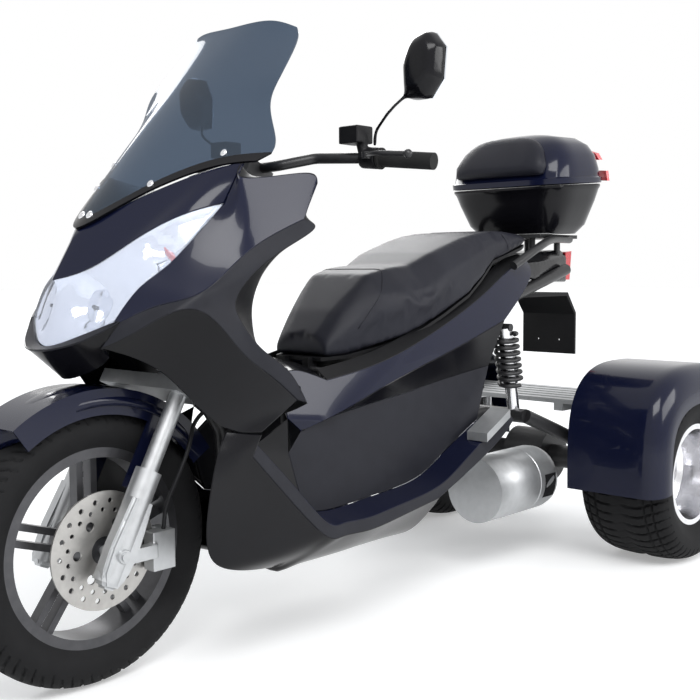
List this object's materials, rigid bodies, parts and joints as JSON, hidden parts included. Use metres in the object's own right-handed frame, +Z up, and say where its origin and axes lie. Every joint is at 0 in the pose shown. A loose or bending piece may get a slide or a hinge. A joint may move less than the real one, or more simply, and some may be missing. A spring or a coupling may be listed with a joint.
{
  "type": "motor trike",
  "caption": "Scooter-bodied motor trike with a tall tinted windscreen, one steered front wheel, two wide rear wheels under hooded fenders, a stepped seat and a hinged top box.",
  "frame": {"origin": "on the ground, midway between the axles, on the centre plane", "axes": "+X to the vehicle's left, +Y to its rear, +Z up"},
  "size_m": [1.042, 2.0517, 1.269],
  "materials": {
    "paint": "gloss",
    "gloss_black": "gloss",
    "charcoal": "satin",
    "black_plastic": "matte",
    "screen": "gloss",
    "clear_lens": "gloss",
    "reflector": "gloss",
    "vinyl": "satin",
    "grip_rubber": "matte",
    "tyre": "matte",
    "dark_alloy": "satin",
    "polished_alloy": "gloss",
    "disc_steel": "satin",
    "silver_alloy": "satin",
    "black_steel": "satin",
    "red_lens": "gloss",
    "mirror": "gloss",
    "hose": "satin"
  },
  "bodies": {
    "chassis": {"frame": "black_steel", "front_cowl": "paint", "visor": "paint", "headlamp_lens": "clear_lens", "headlamp_bowl": "reflector", "windscreen": "screen", "leg_shield": "charcoal", "instrument_panel": "black_plastic", "side_fairings": "gloss_black", "belly_pan": "black_plastic", "floorboards": "charcoal", "side_covers": "charcoal", "tail_panels": "paint", "tunnel": "black_plastic", "tail_cover": "black_plastic", "tail_lamp": "red_lens", "tail_mudguard": "black_plastic", "grab_rail": "black_steel", "box_base": "gloss_black", "pillion_pegs": "silver_alloy", "engine": "silver_alloy", "transmission_drum": "silver_alloy", "silencer": "black_steel", "rear_shocks": "black_steel", "rear_axle": "black_steel", "axle_rack": "silver_alloy", "rear_fenders": "paint"},
    "steering": {"fork": "silver_alloy", "handlebar": "black_steel", "grips": "grip_rubber", "control_housings": "black_plastic", "brake_levers": "black_steel", "mirrors": "black_plastic", "mirror_glasses": "mirror", "front_fender": "paint", "front_brake_caliper": "silver_alloy", "front_brake_hose": "hose"},
    "front_wheel": {"front_tyre": "tyre", "front_rim": "dark_alloy", "front_brake_disc": "disc_steel"},
    "rear_wheel_left": {"rear_tyre_left": "tyre", "rear_rim_left": "polished_alloy"},
    "rear_wheel_right": {"rear_tyre_right": "tyre", "rear_rim_right": "polished_alloy"},
    "luggage_lid": {"box_lid": "gloss_black", "box_backrest": "vinyl"},
    "saddle": {"seat": "vinyl", "seat_pan": "black_plastic"}
  },
  "joints": [
    {"name": "steering", "type": "hinge", "parent": "chassis", "child": "steering", "pos_m": [0, -0.74001, 0.24792], "axis": [0, 0.4695, 0.8829], "range_deg": [-35, 35]},
    {"name": "front_wheel_spin", "type": "hinge", "parent": "steering", "child": "front_wheel", "pos_m": [0, -0.7665, 0.262], "axis": [1, 0, 0], "continuous": true},
    {"name": "rear_wheel_left_spin", "type": "hinge", "parent": "chassis", "child": "rear_wheel_left", "pos_m": [0.389, 0.7665, 0.2295], "axis": [1, 0, 0], "continuous": true},
    {"name": "rear_wheel_right_spin", "type": "hinge", "parent": "chassis", "child": "rear_wheel_right", "pos_m": [-0.389, 0.7665, 0.2295], "axis": [1, 0, 0], "continuous": true},
    {"name": "box_lid_hinge", "type": "hinge", "parent": "chassis", "child": "luggage_lid", "pos_m": [0, 0.5675, 0.992], "axis": [1, 0, 0], "range_deg": [0, 65]},
    {"name": "seat_hinge", "type": "hinge", "parent": "chassis", "child": "saddle", "pos_m": [0, -0.2105, 0.552], "axis": [1, 0, 0], "range_deg": [0, 35]}
  ]
}
